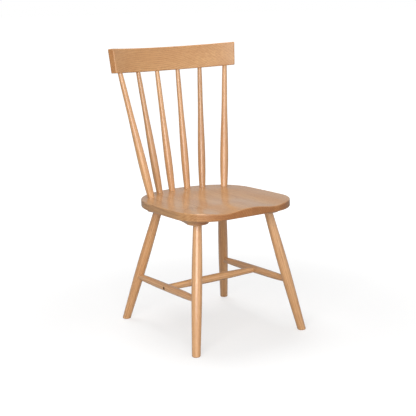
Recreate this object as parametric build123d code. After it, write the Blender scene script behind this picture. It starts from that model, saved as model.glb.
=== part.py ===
"""Spindle-back dining chair: saddle seat on two battens, four turned legs, H-stretcher, comb rail.

Millimetres, +Z up. The floor is z = 0, the origin is under the middle of the overall box, and the
sitter faces -Y. X is the chair's width, and each left-hand piece mirrors a right-hand one. The chair is
470 wide across the rail's ends, 490 deep and 890 high.
"""
import os
from math import asin, cos, degrees, exp, radians, sin

from build123d import *

# Depth from the seat's front edge to the rail's back.
DEPTH = 490.0

# Fit of the glued joints. A mortise is deeper than its tenon by END_PLAY glue gaps, and a tenon starts
# TENON_OVERLAP inside its own piece.
GLUE_GAP = 0.12
END_PLAY = 3
TENON_OVERLAP = 4.0

# Side of the blocks that trim pieces at a plane.
TRIM = 900.0

# Seat board, pitched down toward the back.
SEAT_PITCH = 1.1
SEAT_UNDERSIDE = 397.0
SEAT_THICKNESS = 24.8
SEAT_FRONT = -DEPTH / 2
SEAT_BACK = 200.0
SEAT_HALF_WIDTH = 199.5
SEAT_WIDEST_AT = -45.0
SEAT_CORNER_HALF_WIDTH = 194.5
SEAT_BACK_CORNER = (190.0, 121.0)
SEAT_FRONT_BOW = 5.0
FRONT_CORNER_RADIUS = 114.0
BACK_CORNER_RADIUS = 150.0
SEAT_TOP_EDGE_RADIUS, SEAT_BOTTOM_EDGE_RADIUS = 3.0, 4.5

# Saddle: a bowl, two thigh hollows that run out over the front edge, and a pommel between them.
BOWL_DEPTH = 7.0
BOWL_CENTRE_Y = -15.0
BOWL_HALF_WIDTH, BOWL_HALF_LENGTH = 168.0, 128.0
HOLLOW_DEPTH = 5.5
HOLLOW_X, HOLLOW_HALF_WIDTH = 90.0, 66.0
HOLLOW_START_Y, HOLLOW_FULL_Y = 0.0, -150.0
POMMEL_HEIGHT = 2.2
POMMEL_WIDTH, POMMEL_LENGTH = 38.0, 70.0
# Points on the saddle's surface, as steps each way from the seat's origin.
SADDLE_STEP = 20.0
SADDLE_STEPS_X, SADDLE_STEPS_Y = range(-12, 13), range(-14, 13)

# Leg axes, (x, y) at the floor and at LEG_REFERENCE_Z.
LEG_REFERENCE_Z = 430.0
FRONT_LEG_FOOT, FRONT_LEG_TOP = (198.8, -226.7), (122.0, -134.6)
BACK_LEG_FOOT, BACK_LEG_TOP = (195.2, 213.8), (112.7, 86.4)
# Leg radius against height above the floor.
LEG_PROFILE = ((-8, 12.8), (40, 13.7), (110, 15.2), (210, 16.1), (300, 15.0), (400, 12.6))
FOOT_EDGE_RADIUS = 2.5
LEG_TENON_RADIUS = 10.0
LEG_TENON_IN_SEAT = 12.0

# Battens under the seat, one along each side, with round ends about the leg axes and a waist between.
BATTEN_END_RADIUS, BATTEN_HALF_WAIST = 34.5, 20.0
BATTEN_THICKNESS = 19.0
BATTEN_EDGE_RADIUS = 3.0
BATTEN_SCREW_STATIONS = (0.22, 0.41, 0.59, 0.78)
SCREW_RADIUS, SCREW_HEAD_RADIUS, SCREW_LENGTH, SCREW_RECESS = 2.0, 4.0, 28.0, 2.0

# H-stretcher.
SIDE_STRETCHER_FRONT_Z, SIDE_STRETCHER_BACK_Z = 161.3, 150.2
STRETCHER_TENON_RADIUS = 9.4
STRETCHER_PAST_AXIS = 5.0
STRETCHER_TENON_END = 18.0
SIDE_STRETCHER_RADII = ((0.0, 9.4), (0.12, 10.6), (0.3, 11.8), (0.5, 12.2))
MIDDLE_STRETCHER_RADII = ((0.0, 9.8), (0.15, 10.6), (0.35, 12.2), (0.5, 12.7))
MIDDLE_STRETCHER_STATION = 0.49
COPE_STATIONS = (0.3, 0.7)

# Bolt that holds each end of the middle stretcher.
BOLT_RADIUS, BOLT_HEAD_RADIUS, BOLT_HEAD_LENGTH = 3.0, 5.0, 6.0
BOLT_HEAD_SEAT = 5.0
BOLT_REACH, BOLT_END_PLAY = 45.0, 3.0
BOLT_HOLE_RADIUS, BOLT_HOLE_REACH = 3.3, 20.0
HEX_SOCKET_ACROSS, HEX_SOCKET_DEPTH = 5.0, 3.0
COUNTERBORE_RADIUS = 5.4
INSERT_RADIUS, INSERT_BORE_RADIUS = 5.0, 3.1
INSERT_START, INSERT_LENGTH, INSERT_END_PLAY = 20.0, 16.0, 0.5

# Comb rail: a curved board, raked back, whose ends flare out toward the top.
RAIL_RAKE = 7.6
RAIL_FOOT_Y, RAIL_FOOT_Z = 214.34, 807.98
RAIL_FRONT_RADIUS = 440.0
RAIL_THICKNESS = 21.4
RAIL_HEIGHT = 75.0
RAIL_HALF_ANGLE_BOTTOM, RAIL_HALF_ANGLE_TOP = 30.07, 30.84
RAIL_END_EDGE_RADIUS, RAIL_TOP_EDGE_RADIUS, RAIL_BOTTOM_EDGE_RADIUS = 3.5, 3.0, 2.0

# Spindles, numbered from left to right. Their places are from the middle outward on one side.
SPINDLES_EACH_SIDE = 3
SPINDLES = range(1, 2 * SPINDLES_EACH_SIDE + 1)
SPINDLE_BASES = ((29.3, 168.8), (82.3, 158.5), (139.9, 113.7))
SPINDLE_TOPS_X = (38.9, 115.9, 196.2)
# Radius against the fraction of the length between seat and rail.
SPINDLE_PROFILE = (
    (-0.02, 9.9), (0.1, 11.9), (0.22, 12.7), (0.35, 12.2),
    (0.5, 10.7), (0.65, 9.0), (0.82, 8.3), (1.01, 6.9),
)
# How stout each spindle is beside that profile, from the middle outward.
SPINDLE_STOUTNESS = (0.97, 0.97, 1.06)
SPINDLE_SEAT_TENON_RADIUS, SPINDLE_SEAT_TENON = 7.5, 15.0
SPINDLE_RAIL_TENON_RADIUS, SPINDLE_RAIL_TENON = 5.5, 24.0

SEAT_FRAME = Plane(Location((0, 0, SEAT_UNDERSIDE), (-SEAT_PITCH, 0, 0)))
DECK_FRAME = SEAT_FRAME.offset(SEAT_THICKNESS)
BATTEN_FRAME = SEAT_FRAME.offset(-BATTEN_THICKNESS)
RAIL_FRAME = Plane(Location((0, RAIL_FOOT_Y, RAIL_FOOT_Z), (-RAIL_RAKE, 0, 0)))


def smooth_step(value):
    """0 below 0, 1 above 1, and smooth between."""
    t = min(max(value, 0.0), 1.0)
    return t * t * (3 - 2 * t)


def seat_height(x, y):
    """Height of the saddle above the seat's underside, in the seat's own frame."""
    bowl = max(0.0, 1 - (x / BOWL_HALF_WIDTH) ** 2 - ((y - BOWL_CENTRE_Y) / BOWL_HALF_LENGTH) ** 2)
    across = max(0.0, 1 - ((abs(x) - HOLLOW_X) / HOLLOW_HALF_WIDTH) ** 2)
    along = smooth_step((y - HOLLOW_START_Y) / (HOLLOW_FULL_Y - HOLLOW_START_Y))
    pommel = exp(-((x / POMMEL_WIDTH) ** 2) - ((y - SEAT_FRONT) / POMMEL_LENGTH) ** 2)
    return (SEAT_THICKNESS - BOWL_DEPTH * bowl ** 1.5 - HOLLOW_DEPTH * across ** 2 * along
            + POMMEL_HEIGHT * pommel)


def seat_outline():
    """Shield-shaped plan: bowed front, nearly straight sides, round back."""
    front = (SEAT_CORNER_HALF_WIDTH, SEAT_FRONT + SEAT_FRONT_BOW)
    back = SEAT_BACK_CORNER
    edges = [
        ThreePointArc((-front[0], front[1]), (0, SEAT_FRONT), front),
        ThreePointArc(front, (SEAT_HALF_WIDTH, SEAT_WIDEST_AT), back),
        ThreePointArc(back, (0, SEAT_BACK), (-back[0], back[1])),
        ThreePointArc((-back[0], back[1]), (-SEAT_HALF_WIDTH, SEAT_WIDEST_AT), (-front[0], front[1])),
    ]
    plan = make_face(edges)
    corners = plan.vertices().sort_by(Axis.Y)
    plan = fillet(corners[:2], FRONT_CORNER_RADIUS)
    rear = plan.vertices().sort_by(Axis.Y)[-2:]
    return fillet(rear, BACK_CORNER_RADIUS)


def seat_blank():
    """Seat board with the saddle cut and its edges rounded, without its sockets."""
    columns = [i * SADDLE_STEP for i in SADDLE_STEPS_X]
    rows = [j * SADDLE_STEP for j in SADDLE_STEPS_Y]
    points = [[Vector(x, y, seat_height(x, y)) for y in rows] for x in columns]
    saddle = Face.make_surface_from_array_of_points(points)
    carved = extrude(saddle, amount=2 * SEAT_THICKNESS, dir=(0, 0, 1))
    board = extrude(seat_outline(), amount=SEAT_THICKNESS + 2 * POMMEL_HEIGHT) - carved
    board = board.solid()
    rim = board.faces().sort_by(Axis.Z)[-1].edges()
    board = fillet(rim, SEAT_TOP_EDGE_RADIUS)
    foot = board.faces().filter_by(Plane.XY).sort_by(Axis.Z)[0].edges()
    board = fillet(foot, SEAT_BOTTOM_EDGE_RADIUS)
    return SEAT_FRAME.location * board


def turned(start, end, profile):
    """Solid of revolution about the line from start to end; profile holds (distance, radius) pairs."""
    axis = Vector(*end) - Vector(*start)
    frame = Plane(origin=start, z_dir=axis)
    curve = Spline([(radius, 0, along) for along, radius in profile])
    low, high = profile[0], profile[-1]
    outline = [
        Line((0, 0, low[0]), (low[1], 0, low[0])),
        curve,
        Line((high[1], 0, high[0]), (0, 0, high[0])),
        Line((0, 0, high[0]), (0, 0, low[0])),
    ]
    return frame.location * revolve(make_face(outline), Axis.Z)


def rod(start, end, radius):
    """Cylinder from start to end."""
    axis = Vector(*end) - Vector(*start)
    frame = Plane(origin=start, z_dir=axis)
    return frame.location * Cylinder(radius, axis.length, align=(Align.CENTER, Align.CENTER, Align.MIN))


def above(plane):
    """Block that fills the space above a plane."""
    return plane.location * Box(TRIM, TRIM, TRIM, align=(Align.CENTER, Align.CENTER, Align.MIN))


def below(plane):
    """Block that fills the space below a plane."""
    return plane.location * Box(TRIM, TRIM, TRIM, align=(Align.CENTER, Align.CENTER, Align.MAX))


def between(start, end, fraction):
    """Point at a fraction of the way from start to end."""
    return Vector(*start) + (Vector(*end) - Vector(*start)) * fraction


def leg_axis(foot, top, side):
    """Foot point and reference point of a leg's axis; side is -1 for left and 1 for right."""
    return Vector(side * foot[0], foot[1], 0), Vector(side * top[0], top[1], LEG_REFERENCE_Z)


def on_leg(axis, height):
    """Point of a leg's axis at a height above the floor."""
    return between(axis[0], axis[1], height / LEG_REFERENCE_Z)


def meet_plane(axis, plane):
    """Point where a line through two points crosses a plane."""
    start = plane.to_local_coords(axis[0])
    end = plane.to_local_coords(axis[1])
    return between(axis[0], axis[1], start.Z / (start.Z - end.Z))


LEGS = {
    f"{place}_{hand}": leg_axis(foot, top, side)
    for place, foot, top in (("front", FRONT_LEG_FOOT, FRONT_LEG_TOP), ("back", BACK_LEG_FOOT, BACK_LEG_TOP))
    for hand, side in (("left", -1), ("right", 1))
}


def leg_tenon(axis, gap=0.0):
    """Round tenon of a leg through the batten and into the seat; gap gives its mortise."""
    shoulder = meet_plane(axis, BATTEN_FRAME)
    seat = meet_plane(axis, SEAT_FRAME)
    up = (seat - shoulder).normalized()
    end = seat + up * (LEG_TENON_IN_SEAT + END_PLAY * gap)
    return rod(shoulder - up * TENON_OVERLAP, end, LEG_TENON_RADIUS + gap)


def stretcher_axis(hand):
    """Ends of a side stretcher, on the axes of its two legs."""
    front = on_leg(LEGS[f"front_{hand}"], SIDE_STRETCHER_FRONT_Z)
    back = on_leg(LEGS[f"back_{hand}"], SIDE_STRETCHER_BACK_Z)
    return front, back


def stretcher_socket(hand, place):
    """Socket for a side stretcher in one leg."""
    front, back = stretcher_axis(hand)
    near, far = (front, back) if place == "front" else (back, front)
    inward = (far - near).normalized()
    start = near - inward * (STRETCHER_PAST_AXIS + END_PLAY * GLUE_GAP)
    return rod(start, near + inward * 2 * STRETCHER_TENON_END, STRETCHER_TENON_RADIUS + GLUE_GAP)


def leg(place, hand):
    """Turned leg, cut level at the floor and flush with the batten, with its tenon and socket."""
    axis = LEGS[f"{place}_{hand}"]
    slope = (axis[1] - axis[0]).length / LEG_REFERENCE_Z
    body = turned(axis[0], axis[1], [(height * slope, radius) for height, radius in LEG_PROFILE])
    body = (body - below(Plane.XY) - above(BATTEN_FRAME)).solid()
    body = fillet(body.faces().sort_by(Axis.Z)[0].edges(), FOOT_EDGE_RADIUS)
    return body + leg_tenon(axis) - stretcher_socket(hand, place)


def batten_ends(hand):
    """Centres of a batten's round ends, on its underside."""
    return (meet_plane(LEGS[f"front_{hand}"], BATTEN_FRAME), meet_plane(LEGS[f"back_{hand}"], BATTEN_FRAME))


def batten_screws(hand):
    """Start points and direction of the screws that hold a batten."""
    front, back = batten_ends(hand)
    return [between(front, back, station) for station in BATTEN_SCREW_STATIONS], BATTEN_FRAME.z_dir


def batten_plan(front, back):
    """Plan of a batten between the centres of its ends; each side is an arc tangent to both end circles."""
    run = back - front
    middle = run.length / 2
    end, waist = BATTEN_END_RADIUS, BATTEN_HALF_WAIST
    hollow = (middle ** 2 + waist ** 2 - end ** 2) / (2 * (end - waist))
    share = end / (end + hollow)
    touch = (middle * share, (waist + hollow) * share)
    far = run.length - touch[0]
    edges = [
        ThreePointArc(touch, (middle, waist), (far, touch[1])),
        ThreePointArc((far, touch[1]), (run.length + end, 0), (far, -touch[1])),
        ThreePointArc((far, -touch[1]), (middle, -waist), (touch[0], -touch[1])),
        ThreePointArc((touch[0], -touch[1]), (-end, 0), touch),
    ]
    return Plane(origin=front, x_dir=run, z_dir=(0, 0, 1)).location * make_face(edges)


def batten(hand):
    """Waisted batten, drilled for its legs and screws."""
    front, back = (BATTEN_FRAME.to_local_coords(point) for point in batten_ends(hand))
    board = extrude(batten_plan(front, back), amount=BATTEN_THICKNESS)
    board = fillet(board.faces().sort_by(Axis.Z)[0].edges(), BATTEN_EDGE_RADIUS)
    board = BATTEN_FRAME.location * board
    for place in ("front", "back"):
        board -= leg_tenon(LEGS[f"{place}_{hand}"], GLUE_GAP)
    points, up = batten_screws(hand)
    for point in points:
        board -= screw(point, up, GLUE_GAP)
        board -= rod(point - up * SCREW_RECESS, point + up * SCREW_RECESS, SCREW_HEAD_RADIUS + GLUE_GAP)
    return board


def screw(point, up, gap=0.0):
    """Countersunk wood screw driven up from a point; gap gives its hole."""
    head = SCREW_HEAD_RADIUS - SCREW_RADIUS
    start = point + up * SCREW_RECESS
    frame = Plane(origin=start, z_dir=up)
    cone = frame.location * Cone(SCREW_HEAD_RADIUS + gap, SCREW_RADIUS + gap, head,
                                 align=(Align.CENTER, Align.CENTER, Align.MIN))
    shank = rod(start + up * head * 0.5, start + up * (SCREW_LENGTH + gap), SCREW_RADIUS + gap)
    return cone + shank


def side_stretcher(hand):
    """Turned side stretcher with plain ends in the legs and a stepped bolt hole at its middle."""
    front, back = stretcher_axis(hand)
    length = (back - front).length
    along = [(fraction * length, radius) for fraction, radius in SIDE_STRETCHER_RADII]
    along += [(length - distance, radius) for distance, radius in reversed(along[:-1])]
    along[0] = (STRETCHER_TENON_END, STRETCHER_TENON_RADIUS)
    along[-1] = (length - STRETCHER_TENON_END, STRETCHER_TENON_RADIUS)
    direction = (back - front).normalized()
    body = turned(front, back, along)
    for end, inward in ((front, direction), (back, direction * -1)):
        start = end - inward * STRETCHER_PAST_AXIS
        body += rod(start, end + inward * STRETCHER_TENON_END, STRETCHER_TENON_RADIUS)
    centre, inward = bolt_line(hand)
    outside = centre - inward * BOLT_HOLE_REACH
    body -= rod(outside, centre + inward * BOLT_HOLE_REACH, BOLT_HOLE_RADIUS)
    return body - rod(outside, centre - inward * BOLT_HEAD_SEAT, COUNTERBORE_RADIUS)


def middle_ends():
    """Points where the middle stretcher's axis meets the side stretchers' axes, left then right."""
    return [between(*stretcher_axis(hand), MIDDLE_STRETCHER_STATION) for hand in ("left", "right")]


def bolt_line(hand):
    """Centre of the bolt's hole in a side stretcher and the direction toward the chair's middle."""
    left, right = middle_ends()
    inward = (right - left).normalized()
    return (left, inward) if hand == "left" else (right, inward * -1)


def middle_stretcher():
    """Turned middle stretcher, coped to the side stretchers and bored for its inserts and bolts."""
    left, right = middle_ends()
    length = (right - left).length
    along = [(fraction * length, radius) for fraction, radius in MIDDLE_STRETCHER_RADII]
    along += [(length - distance, radius) for distance, radius in reversed(along[:-1])]
    body = turned(left, right, along)
    cope = SIDE_STRETCHER_RADII[-1][1] + GLUE_GAP
    for hand in ("left", "right"):
        front, back = stretcher_axis(hand)
        body -= rod(between(front, back, COPE_STATIONS[0]), between(front, back, COPE_STATIONS[1]), cope)
        centre, inward = bolt_line(hand)
        insert_end = centre + inward * (INSERT_START + INSERT_LENGTH + INSERT_END_PLAY)
        body -= rod(centre, insert_end, INSERT_RADIUS + GLUE_GAP)
        body -= rod(centre, centre + inward * (BOLT_REACH + BOLT_END_PLAY), BOLT_HOLE_RADIUS)
    return body


def bolt(hand):
    """Socket-head bolt through a side stretcher."""
    centre, inward = bolt_line(hand)
    shoulder = centre - inward * BOLT_HEAD_SEAT
    outer = shoulder - inward * BOLT_HEAD_LENGTH
    shank = rod(outer + inward * HEX_SOCKET_DEPTH, centre + inward * BOLT_REACH, BOLT_RADIUS)
    hexagon = RegularPolygon(HEX_SOCKET_ACROSS / 2, 6, major_radius=False)
    socket = Plane(origin=outer, z_dir=inward).location * extrude(hexagon, amount=HEX_SOCKET_DEPTH)
    return rod(outer, shoulder, BOLT_HEAD_RADIUS) + shank - socket


def insert(hand):
    """Threaded insert in one end of the middle stretcher."""
    centre, inward = bolt_line(hand)
    start, end = centre + inward * INSERT_START, centre + inward * (INSERT_START + INSERT_LENGTH)
    return rod(start, end, INSERT_RADIUS) - rod(start - inward, end + inward, INSERT_BORE_RADIUS)


def rail_point(angle, outward, up):
    """Point of the rail: angle along its curve, outward from its front face, up from its foot."""
    radius = RAIL_FRONT_RADIUS + outward
    return RAIL_FRAME.from_local_coords(
        Vector(radius * sin(radians(angle)), radius * cos(radians(angle)) - RAIL_FRONT_RADIUS, up))


def rail_section(half_angle, height):
    """Plan of the rail at a height above its foot."""
    def point(angle, radius):
        return (radius * sin(radians(angle)), radius * cos(radians(angle)) - RAIL_FRONT_RADIUS, height)

    inner, outer = RAIL_FRONT_RADIUS, RAIL_FRONT_RADIUS + RAIL_THICKNESS
    return make_face([
        ThreePointArc(point(-half_angle, inner), point(0, inner), point(half_angle, inner)),
        Line(point(half_angle, inner), point(half_angle, outer)),
        ThreePointArc(point(half_angle, outer), point(0, outer), point(-half_angle, outer)),
        Line(point(-half_angle, outer), point(-half_angle, inner)),
    ])


def top_rail():
    """Curved comb rail with rounded edges and six sockets for the spindles."""
    plans = [rail_section(RAIL_HALF_ANGLE_BOTTOM, 0), rail_section(RAIL_HALF_ANGLE_TOP, RAIL_HEIGHT)]
    body = loft(plans, ruled=True)
    ends = [edge for edge in body.edges() if edge.bounding_box().size.Z > RAIL_HEIGHT / 2]
    body = fillet(ends, RAIL_END_EDGE_RADIUS)
    body = fillet(body.faces().sort_by(Axis.Z)[-1].edges(), RAIL_TOP_EDGE_RADIUS)
    body = fillet(body.faces().sort_by(Axis.Z)[0].edges(), RAIL_BOTTOM_EDGE_RADIUS)
    body = RAIL_FRAME.location * body
    for number in SPINDLES:
        body -= spindle_tenon(number, "rail", GLUE_GAP)
    return body


def spindle_place(number):
    """Side of a spindle, -1 or 1, and its place from the middle outward."""
    if number <= SPINDLES_EACH_SIDE:
        return -1, SPINDLES_EACH_SIDE - number
    return 1, number - SPINDLES_EACH_SIDE - 1


def spindle_axis(number):
    """Where a spindle meets the seat's deck and the rail's underside."""
    side, place = spindle_place(number)
    x, y = SPINDLE_BASES[place]
    deck = SEAT_FRAME.from_local_coords(Vector(side * x, y, SEAT_THICKNESS))
    centre_line = RAIL_THICKNESS / 2
    angle = degrees(asin(SPINDLE_TOPS_X[place] / (RAIL_FRONT_RADIUS + centre_line)))
    return deck, rail_point(side * angle, centre_line, 0)


def spindle_tenon(number, end, gap=0.0):
    """Round tenon at one end of a spindle; gap gives its socket."""
    deck, rail = spindle_axis(number)
    up = (rail - deck).normalized()
    play = END_PLAY * gap
    if end == "seat":
        foot = deck - up * (SPINDLE_SEAT_TENON + play)
        return rod(deck + up * TENON_OVERLAP, foot, SPINDLE_SEAT_TENON_RADIUS + gap)
    tip = rail + up * (SPINDLE_RAIL_TENON + play)
    return rod(rail - up * TENON_OVERLAP, tip, SPINDLE_RAIL_TENON_RADIUS + gap)


def spindle(number):
    """Turned spindle, fattest below its middle, with a tenon at each end."""
    deck, rail = spindle_axis(number)
    length = (rail - deck).length
    stout = SPINDLE_STOUTNESS[spindle_place(number)[1]]
    body = turned(deck, rail, [(fraction * length, radius * stout) for fraction, radius in SPINDLE_PROFILE])
    body = (body - below(DECK_FRAME.offset(GLUE_GAP / 2)) - above(RAIL_FRAME)).solid()
    return body + spindle_tenon(number, "seat") + spindle_tenon(number, "rail")


def seat():
    """Saddle seat with sockets for the legs, spindles and batten screws."""
    board = seat_blank()
    for axis in LEGS.values():
        board -= leg_tenon(axis, GLUE_GAP)
    for number in SPINDLES:
        board -= spindle_tenon(number, "seat", GLUE_GAP)
    for hand in ("left", "right"):
        points, up = batten_screws(hand)
        for point in points:
            board -= screw(point, up, GLUE_GAP)
    return board


def group(pieces):
    """Several separate solids in one node."""
    return Compound(children=[piece.solid() for piece in pieces])


def main():
    nodes = {"seat": seat(), "top_rail": top_rail(), "middle_stretcher": middle_stretcher()}
    for hand in ("left", "right"):
        nodes[f"batten_{hand}"] = batten(hand)
        nodes[f"stretcher_{hand}"] = side_stretcher(hand)
        for place in ("front", "back"):
            nodes[f"leg_{place}_{hand}"] = leg(place, hand)
    for number in SPINDLES:
        nodes[f"spindle_{number}"] = spindle(number)
    nodes["stretcher_bolts"] = group([bolt("left"), bolt("right")])
    nodes["threaded_inserts"] = group([insert("left"), insert("right")])
    starts = [(point, up) for points, up in map(batten_screws, ("left", "right")) for point in points]
    nodes["batten_screws"] = group([screw(point, up) for point, up in starts])
    os.makedirs("parts", exist_ok=True)
    for name, shape in nodes.items():
        export_step(shape, f"parts/{name}.step")


main()
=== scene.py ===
"""Looks of the spindle-back dining chair: lacquered oak, steel and brass fasteners, a pale studio.

Metres, +Z up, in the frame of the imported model. The sitter faces -Y.
"""
import math

import bpy
import numpy as np
from mathutils import Euler, Matrix, Vector

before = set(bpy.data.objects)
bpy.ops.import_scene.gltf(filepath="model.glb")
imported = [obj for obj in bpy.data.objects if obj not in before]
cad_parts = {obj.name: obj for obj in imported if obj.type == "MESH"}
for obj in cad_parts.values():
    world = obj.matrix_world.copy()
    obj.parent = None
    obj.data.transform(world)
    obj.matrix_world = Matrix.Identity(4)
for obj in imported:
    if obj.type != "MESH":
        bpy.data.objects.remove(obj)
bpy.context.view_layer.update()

# Camera, in metres and degrees. Yaw turns from +Y toward +X, and pitch looks down.
CAMERA_PLACE = (-1.654, -2.588, 1.070)
CAMERA_YAW, CAMERA_PITCH, CAMERA_ROLL = 33.99, 12.87, -1.17
SENSOR = 36.0
LENS = 85.68
CAMERA_SHIFT = (-0.0567, 0.0106)

# Light of the room, level and overhead, and of its soft panels. A panel has an azimuth from -Y toward -X,
# an elevation, an inner and an outer angle, all in degrees, and a brightness.
ROOM_HORIZON, ROOM_ZENITH = 0.62, 0.20
PANELS = (
    (-5.0, 12.0, 10.0, 60.0, 0.55),
    (-100.0, 5.0, 10.0, 45.0, 0.25),
)
# Soft boxes, in metres and watts. The key stands in front, at the sitter's right, and the other overhead.
KEY_PLACE, KEY_AIM, KEY_SIZE, KEY_POWER = (-1.22, -1.40, 1.10), (0.0, 0.0, 0.45), (1.5, 1.3), 28.0
TOP_PLACE, TOP_AIM, TOP_SIZE, TOP_POWER = (0.05, 0.35, 2.30), (0.0, 0.0, 0.0), (0.9, 0.9), 20.0
# Floor: its matt share, its glow near the chair and far from it, and where one turns into the other.
FLOOR_DIFFUSE, FLOOR_GLOW, FLOOR_GLOW_FAR, FLOOR_NEAR, FLOOR_FAR = 0.45, 0.555, 0.9, 0.45, 1.6
BOUNCE_DIFFUSE = 0.5
BACKDROP_GLOW = 1.0

# Oak, as sRGB colours.
LATE_WOOD, EARLY_WOOD = "DFAF7A", "B0773F"
STREAK_LIGHT, STREAK_DARK = "E3B480", "B37C49"
DRIFT_DARK, FIBRE_DARK, PORE_DARK = "B77F4E", "935D32", "7A4A25"
# The pale worn colour on sharp edges is partly wear and partly a painted edge highlight.
FLECK_LIGHT, WORN_AND_HIGHLIGHT, END_DARK = "EBC79B", "EBC79B", "D4B79C"
# How far each detail tints the wood; the last is the edge wear with its painted edge highlight.
DRIFT_SHARE, FIBRE_SHARE, PORE_SHARE, FLECK_SHARE, WEAR_AND_HIGHLIGHT_SHARE = 0.38, 0.26, 0.42, 0.16, 0.3
# Stops, as (input, output) pairs. The rings' input is the place across one ring, the end grain's is how
# squarely the surface cuts the grain, the edge wear and painted edge highlight's is how sharply it bends,
# and the others' is noise.
RING_STOPS = ((0.0, 0.1), (0.12, 0.7), (0.55, 1.0), (0.9, 0.7), (1.0, 0.1))
STREAK_STOPS = ((0.34, 0.0), (0.66, 1.0))
PORE_STOPS = ((0.46, 0.0), (0.58, 1.0))
DRIFT_STOPS = ((0.36, 0.0), (0.64, 1.0))
FLECK_STOPS = ((0.60, 0.0), (0.72, 1.0))
END_STOPS = ((0.45, 0.0), (0.95, 1.0))
EDGE_WEAR_AND_HIGHLIGHT_STOPS = ((0.0, 0.0), (0.10, 1.0))
# Noise cells per metre: two numbers across the grain and one along it.
SWAY_CELLS, SPACING_CELLS, DRIFT_CELLS = (5.0, 5.0, 1.1), (6.0, 6.0, 0.6), (16.0, 16.0, 1.6)
FIBRE_CELLS, STREAK_CELLS = (900.0, 900.0, 16.0), (230.0, 230.0, 3.5)
PORE_CELLS, FLECK_CELLS = (1500.0, 1500.0, 45.0), (70.0, 420.0, 45.0)
# The rings' sway in metres, how many rings the uneven spacing shifts, and how much more open the pores
# are where a ring is dark.
SWAY_SIZE, SPACING_RINGS, PORE_CROWDING = 0.030, 5.0, 0.16
# Edge mask for wear and a painted edge highlight: bevel width, samples, patch noise cells and patch depth.
EDGE_MASK_WIDTH, EDGE_MASK_SAMPLES, EDGE_MASK_CELLS, EDGE_MASK_PATCHES = 0.0015, 4, 90.0, 0.06
STAVE_SEED, STAVE_SHIFT, STAVE_TONE = 7.0, (0.4, 0.7, 0.3), 0.10
# The satin finish: roughness, what pores, streaks and wear add to it, and the relief.
ROUGHNESS, PORE_ROUGH, STREAK_ROUGH, WEAR_ROUGH = 0.33, 0.12, 0.08, 0.15
FIBRE_RELIEF, PORE_RELIEF, RELIEF_STRENGTH, RELIEF = 0.35, -0.8, 0.2, 0.0004
LACQUER_IOR, COAT_ROUGHNESS = 1.5, 0.2
# Each piece's heart and ring width in metres, tone, saturation, share of dark end grain, coat, share of
# rings beside streaks, and width of its staves in metres, 0 for a solid piece.
WOOD = {"heart": (0.05, 0.11, 0.3), "ring": 0.0045, "tone": 1.09, "saturation": 0.99, "ends": 0.8,
        "coat": 1.0, "ring_depth": 0.5, "staves": 0.0}
LOOKS = {
    "seat": {"heart": (0.02, 0.0, 0.33), "ring": 0.006, "tone": 0.88, "saturation": 1.02, "coat": 0.6,
             "staves": 0.085},
    "top_rail": {"heart": (0.0, 0.05, 0.71), "tone": 0.97, "saturation": 1.01, "ends": 0.5, "coat": 0.25,
                 "ring_depth": 0.62},
    "leg_front_left": {"tone": 1.11},
    "leg_back_left": {"tone": 1.19},
    "leg_back_right": {"tone": 1.04},
    "stretcher_left": {"tone": 1.14},
    "middle_stretcher": {"tone": 1.14},
    "spindle_1": {"tone": 1.12},
    "spindle_2": {"tone": 0.98},
    "spindle_5": {"tone": 0.97},
    "batten_left": {"tone": 0.92},
    "batten_right": {"tone": 0.92},
}
# Grain direction of the pieces that don't simply follow their own length.
GRAIN = {"seat": (0.0, 1.0, 0.02), "top_rail": (1.0, 0.12, 0.0)}
# Metal nodes: material name, sRGB colour and roughness, then what the metals share.
METALS = {
    "stretcher_bolts": ("blackened_steel", "5C5046", 0.4),
    "threaded_inserts": ("brass", "C9A869", 0.3),
    "batten_screws": ("zinc_plate", "BDBBB4", 0.3),
}
TARNISH, TARNISH_SHARE, TARNISH_CELLS = "4A4640", 0.4, 160.0
SPECKLE_CELLS, SPECKLE_ROUGH, METAL_STRENGTH, METAL_RELIEF = 900.0, 0.2, 0.2, 0.0002
# Turn between one piece's grain and the next one's, in radians, so that no two look alike.
GRAIN_TURN = 2.399

# Stage: half its width, the drop of the floor that bounces light, and the backdrop round it.
STAGE_REACH, BOUNCE_DROP = 40.0, 0.002
BACKDROP_RADIUS, BACKDROP_FOOT, BACKDROP_SIDES = 38.0, -0.01, 48
CLIP_END = 60.0


def grain_frame(axis, seed):
    """Rotation whose third column is a piece's grain direction, spun about it by the piece's seed."""
    along = Vector(axis).normalized()
    side = along.orthogonal().normalized()
    side = Matrix.Rotation(seed * GRAIN_TURN, 3, along) @ side
    return Matrix((side, along.cross(side), along)).transposed()


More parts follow.
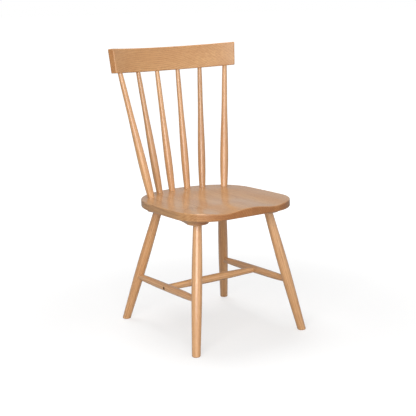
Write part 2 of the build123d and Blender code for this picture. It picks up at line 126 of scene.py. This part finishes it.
class Nodes:
    """Shorthand for building a node tree."""

    def __init__(self, tree):
        self.tree = tree

    def add(self, kind, inputs=None, **settings):
        node = self.tree.nodes.new(kind)
        for name, value in settings.items():
            setattr(node, name, value)
        for name, value in (inputs or {}).items():
            self.put(node, name, value)
        return node

    def put(self, node, name, value):
        """Link a socket or set a constant."""
        socket = node.inputs[name]
        if isinstance(value, bpy.types.NodeSocket):
            self.tree.links.new(value, socket)
        else:
            socket.default_value = value

    def math(self, operation, *values):
        node = self.add("ShaderNodeMath", operation=operation)
        for number, value in enumerate(values):
            self.put(node, number, value)
        return node.outputs[0]

    def vector(self, operation, a, b, result="Vector"):
        node = self.add("ShaderNodeVectorMath", {0: a, 1: b}, operation=operation)
        return node.outputs[result]

    def stops(self, value, stops):
        """Grey value that a ramp gives, from (input, output) pairs."""
        node = self.add("ShaderNodeValToRGB", {"Fac": value})
        elements = node.color_ramp.elements
        while len(elements) < len(stops):
            elements.new(0.5)
        for element, (place, level) in zip(elements, stops):
            element.position = place
            element.color = grey(level)
        return self.add("ShaderNodeSeparateColor", {"Color": node.outputs["Color"]}).outputs[0]

    def mix(self, factor, a, b, blend="MIX"):
        node = self.add("ShaderNodeMix", data_type="RGBA", blend_type=blend)
        self.put(node, 0, factor)
        self.put(node, 6, a)
        self.put(node, 7, b)
        return node.outputs[2]

    def noise(self, vector, scale=1.0, detail=2.0, roughness=0.5, output="Fac"):
        node = self.add("ShaderNodeTexNoise", {"Vector": vector, "Scale": scale, "Detail": detail,
                                               "Roughness": roughness})
        return node.outputs[output]

    def stretched(self, vector, scale, offset=(0.0, 0.0, 0.0)):
        node = self.add("ShaderNodeMapping", {"Vector": vector, "Scale": scale, "Location": offset})
        return node.outputs["Vector"]


def grey(value):
    return (value, value, value, 1.0)


def hex_colour(text):
    """Linear colour from an sRGB hex value."""
    values = [int(text[i:i + 2], 16) / 255 for i in (0, 2, 4)]
    return tuple(v / 12.92 if v <= 0.04045 else ((v + 0.055) / 1.055) ** 2.4 for v in values) + (1.0,)


def empty_material(name):
    """A material with no nodes, and the shorthand for its tree."""
    material = bpy.data.materials.new(name)
    material.use_nodes = True
    material.node_tree.nodes.clear()
    return material, Nodes(material.node_tree)


def finish(n, inputs):
    """Put the shader and the output at the end of a material's tree."""
    shader = n.add("ShaderNodeBsdfPrincipled", inputs)
    n.add("ShaderNodeOutputMaterial", {"Surface": shader.outputs[0]})


def staves(n, place, look):
    """Place in the log and tone of a board glued up from staves, each cut from another part of the log."""
    across = n.add("ShaderNodeSeparateXYZ", {"Vector": place}).outputs["X"]
    number = n.math("FLOOR", n.math("DIVIDE", across, look["staves"]))
    number = n.math("ADD", number, STAVE_SEED)
    scatter = n.add("ShaderNodeTexWhiteNoise", {"W": number}, noise_dimensions="1D")
    shift = n.vector("MULTIPLY", scatter.outputs["Color"], STAVE_SHIFT)
    tone = n.math("MULTIPLY_ADD", scatter.outputs["Value"], STAVE_TONE, look["tone"] - STAVE_TONE / 2)
    return n.vector("ADD", place, shift), tone


def ring_bands(n, turned, seed, look):
    """Growth rings about the heart, which wander slowly along the grain: 1 in late wood, low in early."""
    sway = n.noise(n.stretched(turned, SWAY_CELLS), output="Color")
    sway = n.vector("SUBTRACT", sway, (0.5, 0.5, 0.5))
    sway = n.vector("MULTIPLY", sway, (SWAY_SIZE, SWAY_SIZE, SWAY_SIZE))
    split = n.add("ShaderNodeSeparateXYZ", {"Vector": n.vector("ADD", turned, sway)})
    squares = [n.math("POWER", split.outputs[name], 2.0) for name in ("X", "Y")]
    radius = n.math("SQRT", n.math("ADD", *squares))
    spacing = n.noise(n.stretched(turned, SPACING_CELLS, (seed, 0.0, 0.0)))
    shifted = n.math("MULTIPLY", spacing, SPACING_RINGS)
    count = n.math("ADD", n.math("DIVIDE", radius, look["ring"]), shifted)
    return n.stops(n.math("FRACT", count), RING_STOPS)


def edge_wear_and_highlight(n, place, normal):
    """Patchy mask where the surface bends sharply, for wear and for a painted highlight on the edges."""
    rounded = n.add("ShaderNodeBevel", {"Radius": EDGE_MASK_WIDTH}, samples=EDGE_MASK_SAMPLES).outputs["Normal"]
    bend = n.math("SUBTRACT", 1.0, n.vector("DOT_PRODUCT", rounded, normal, "Value"))
    patches = n.math("MULTIPLY", n.noise(place, EDGE_MASK_CELLS, 3.0, 0.6), EDGE_MASK_PATCHES)
    return n.stops(n.math("SUBTRACT", bend, patches), EDGE_WEAR_AND_HIGHLIGHT_STOPS)


def end_grain(n, normal, grain, look):
    """Share of end grain, which drinks the finish and goes darker."""
    along = n.vector("DOT_PRODUCT", normal, tuple(grain.col[2]), "Value")
    return n.math("MULTIPLY", n.stops(n.math("ABSOLUTE", along), END_STOPS), look["ends"])


def wood(name, grain, seed, look):
    """Lacquered oak. grain turns the texture's Z to the piece's grain direction."""
    material, n = empty_material(name)
    place = n.add("ShaderNodeTexCoord").outputs["Object"]
    solid, tone = staves(n, place, look) if look["staves"] else (place, look["tone"])
    turned = n.add("ShaderNodeMapping", {"Vector": solid, "Rotation": grain.to_euler(),
                                         "Location": look["heart"]}, vector_type="TEXTURE").outputs["Vector"]
    rings = ring_bands(n, turned, seed, look)
    # Fibres, streaks and open pores run along the grain. Pores crowd into each ring's early wood.
    fibre = n.noise(n.stretched(turned, FIBRE_CELLS), detail=3.0, roughness=0.65)
    streak = n.stops(n.noise(n.stretched(turned, STREAK_CELLS), detail=3.0, roughness=0.6), STREAK_STOPS)
    pores = n.noise(n.stretched(turned, PORE_CELLS), detail=1.0)
    pores = n.stops(n.math("SUBTRACT", pores, n.math("MULTIPLY", rings, PORE_CROWDING)), PORE_STOPS)
    # Broad drifts of tone and the pale ray flecks.
    drift = n.stops(n.noise(n.stretched(turned, DRIFT_CELLS, (seed, 0.0, 0.0))), DRIFT_STOPS)
    flecks = n.stops(n.noise(n.stretched(turned, FLECK_CELLS), roughness=0.6), FLECK_STOPS)
    normal = n.add("ShaderNodeNewGeometry").outputs["Normal"]
    # Pale sharp edges: part wear, part painted highlight.
    wear_and_highlight = edge_wear_and_highlight(n, place, normal)

    base = n.mix(rings, hex_colour(EARLY_WOOD), hex_colour(LATE_WOOD))
    streaks = n.mix(streak, hex_colour(STREAK_DARK), hex_colour(STREAK_LIGHT))
    base = n.mix(look["ring_depth"], streaks, base)
    for amount, share, tint in ((drift, DRIFT_SHARE, DRIFT_DARK), (fibre, FIBRE_SHARE, FIBRE_DARK),
                                (pores, PORE_SHARE, PORE_DARK), (flecks, FLECK_SHARE, FLECK_LIGHT)):
        base = n.mix(n.math("MULTIPLY", amount, share), base, hex_colour(tint))
    base = n.mix(end_grain(n, normal, grain, look), base, hex_colour(END_DARK), "MULTIPLY")
    # Lighten the edges: wear and a painted edge highlight.
    base = n.mix(n.math("MULTIPLY", wear_and_highlight, WEAR_AND_HIGHLIGHT_SHARE), base, hex_colour(WORN_AND_HIGHLIGHT))
    base = n.add("ShaderNodeHueSaturation", {"Color": base, "Value": tone, "Saturation": look["saturation"]})

    rough = ROUGHNESS
    for amount, share in ((pores, PORE_ROUGH), (streak, STREAK_ROUGH), (wear_and_highlight, WEAR_ROUGH)):
        rough = n.math("ADD", n.math("MULTIPLY", amount, share), rough)
    height = n.math("ADD", n.math("MULTIPLY", fibre, FIBRE_RELIEF), n.math("MULTIPLY", pores, PORE_RELIEF))
    bump = n.add("ShaderNodeBump", {"Strength": RELIEF_STRENGTH, "Distance": RELIEF, "Height": height})
    finish(n, {"Base Color": base.outputs["Color"], "Roughness": rough, "Normal": bump.outputs[0],
               "IOR": LACQUER_IOR, "Coat Weight": look["coat"], "Coat Roughness": COAT_ROUGHNESS})
    return material


def metal(name, colour, roughness):
    """Plated or plain metal, speckled and slightly tarnished."""
    material, n = empty_material(name)
    place = n.add("ShaderNodeTexCoord").outputs["Object"]
    speckle = n.noise(place, SPECKLE_CELLS, 3.0, 0.6)
    tarnish = n.math("MULTIPLY", n.noise(place, TARNISH_CELLS), TARNISH_SHARE)
    base = n.mix(tarnish, hex_colour(colour), hex_colour(TARNISH))
    rough = n.math("ADD", n.math("MULTIPLY", speckle, SPECKLE_ROUGH), roughness)
    bump = n.add("ShaderNodeBump", {"Strength": METAL_STRENGTH, "Distance": METAL_RELIEF, "Height": speckle})
    finish(n, {"Base Color": base, "Roughness": rough, "Metallic": 1.0, "Normal": bump.outputs[0]})
    return material


def long_axis(node):
    """Direction in which a node's mesh is longest."""
    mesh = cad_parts[node].data
    points = np.empty(len(mesh.vertices) * 3, np.float32)
    mesh.vertices.foreach_get("co", points)
    points = points.reshape(-1, 3)
    _, _, directions = np.linalg.svd(points - points.mean(0), full_matrices=False)
    return Vector([float(x) for x in directions[0]])


def paint(node, material):
    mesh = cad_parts[node].data
    mesh.materials.clear()
    mesh.materials.append(material)


def paint_all():
    wooden = [node for node in sorted(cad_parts) if node not in METALS]
    for seed, node in enumerate(wooden, start=1):
        grain = grain_frame(GRAIN.get(node) or long_axis(node), seed)
        paint(node, wood(f"oak_{node}", grain, seed, {**WOOD, **LOOKS.get(node, {})}))
    for node, look in METALS.items():
        paint(node, metal(*look))


def look_from():
    camera = bpy.data.cameras.new("camera")
    camera.sensor_width = SENSOR
    camera.lens = LENS
    camera.shift_x, camera.shift_y = CAMERA_SHIFT
    camera.clip_end = CLIP_END
    view = bpy.data.objects.new("camera", camera)
    turn = Euler((math.radians(90 - CAMERA_PITCH), 0, -math.radians(CAMERA_YAW))).to_matrix()
    roll = Matrix.Rotation(math.radians(CAMERA_ROLL), 3, "Z")
    view.matrix_world = Matrix.Translation(CAMERA_PLACE) @ (turn @ roll).to_4x4()
    bpy.context.scene.collection.objects.link(view)
    bpy.context.scene.camera = view


def soft_box(name, place, aim, size, power):
    light = bpy.data.lights.new(name, "AREA")
    light.shape = "RECTANGLE"
    light.size, light.size_y = size
    light.energy = power
    lamp = bpy.data.objects.new(name, light)
    lamp.location = place
    lamp.rotation_euler = (Vector(aim) - Vector(place)).to_track_quat("-Z", "Y").to_euler()
    lamp.visible_camera = False
    bpy.context.scene.collection.objects.link(lamp)


def soft_panel(n, ray, azimuth, elevation, inner, outer, strength):
    """Light of a soft round panel: full within the inner angle of its direction, none past the outer one."""
    a, e = math.radians(azimuth), math.radians(elevation)
    toward = (-math.sin(a) * math.cos(e), -math.cos(a) * math.cos(e), math.sin(e))
    facing = n.vector("DOT_PRODUCT", ray, toward, "Value")
    edge, full = math.cos(math.radians(outer)), math.cos(math.radians(inner))
    light = n.add("ShaderNodeMapRange", {"Value": facing, "From Min": edge, "From Max": full, "To Min": 0.0,
                                         "To Max": strength}, interpolation_type="SMOOTHSTEP")
    return light.outputs["Result"]


def surroundings():
    """A dim room, darker overhead, with soft panels round the chair."""
    world = bpy.data.worlds.new("studio")
    bpy.context.scene.world = world
    world.use_nodes = True
    world.node_tree.nodes.clear()
    n = Nodes(world.node_tree)
    ray = n.add("ShaderNodeTexCoord").outputs["Generated"]
    height = n.add("ShaderNodeSeparateXYZ", {"Vector": ray}).outputs["Z"]
    total = n.add("ShaderNodeMapRange", {"Value": height, "From Min": 0.0, "From Max": 1.0,
                                         "To Min": ROOM_HORIZON, "To Max": ROOM_ZENITH}).outputs["Result"]
    for panel in PANELS:
        total = n.math("ADD", soft_panel(n, ray, *panel), total)
    colour = n.add("ShaderNodeCombineColor", {"Red": total, "Green": total, "Blue": total}).outputs[0]
    background = n.add("ShaderNodeBackground", {"Color": colour, "Strength": 1.0})
    n.add("ShaderNodeOutputWorld", {"Surface": background.outputs[0]})


def plain_stage(name, mesh, diffuse, glow, far_glow=None):
    """A matt stage piece that also glows, so that it stays pale. The glow may rise with distance."""
    piece = bpy.data.objects.new(name, mesh)
    bpy.context.scene.collection.objects.link(piece)
    material, n = empty_material(name)
    if far_glow is not None:
        place = n.add("ShaderNodeTexCoord").outputs["Object"]
        away = n.add("ShaderNodeVectorMath", {0: place}, operation="LENGTH").outputs["Value"]
        glow = n.add("ShaderNodeMapRange", {"Value": away, "From Min": FLOOR_NEAR, "From Max": FLOOR_FAR,
                                            "To Min": glow, "To Max": far_glow},
                     interpolation_type="SMOOTHSTEP").outputs["Result"]
    finish(n, {"Base Color": grey(diffuse), "Roughness": 1.0, "Specular IOR Level": 0.0,
               "Emission Color": grey(1.0), "Emission Strength": glow})
    mesh.materials.append(material)
    return piece


def square(name, reach, height):
    mesh = bpy.data.meshes.new(name)
    mesh.from_pydata([(-reach, -reach, height), (reach, -reach, height), (reach, reach, height),
                      (-reach, reach, height)], [], [(0, 1, 2, 3)])
    return mesh


def backdrop_mesh(radius, sides):
    """A round wall and ceiling, far enough away to stay plain."""
    mesh = bpy.data.meshes.new("backdrop")
    ring = [(radius * math.cos(2 * math.pi * i / sides), radius * math.sin(2 * math.pi * i / sides))
            for i in range(sides)]
    points = [(x, y, z) for z in (BACKDROP_FOOT, radius) for x, y in ring]
    walls = [(i, (i + 1) % sides, sides + (i + 1) % sides, sides + i) for i in range(sides)]
    mesh.from_pydata(points, [], walls + [tuple(range(sides, 2 * sides))])
    return mesh


def seen_only(piece):
    """Let the camera see a stage piece, and keep it out of the light on the chair."""
    piece.visible_diffuse = piece.visible_glossy = piece.visible_shadow = False


def studio():
    surroundings()
    soft_box("key", KEY_PLACE, KEY_AIM, KEY_SIZE, KEY_POWER)
    soft_box("top", TOP_PLACE, TOP_AIM, TOP_SIZE, TOP_POWER)
    floor = square("floor", STAGE_REACH, 0.0)
    seen_only(plain_stage("floor", floor, FLOOR_DIFFUSE, FLOOR_GLOW, FLOOR_GLOW_FAR))
    bounce = square("floor_bounce", STAGE_REACH, -BOUNCE_DROP)
    plain_stage("floor_bounce", bounce, BOUNCE_DIFFUSE, 0.0).visible_camera = False
    backdrop = backdrop_mesh(BACKDROP_RADIUS, BACKDROP_SIDES)
    seen_only(plain_stage("backdrop", backdrop, 0.0, BACKDROP_GLOW))
    bpy.context.scene.view_settings.view_transform = "Standard"


paint_all()
look_from()
studio()
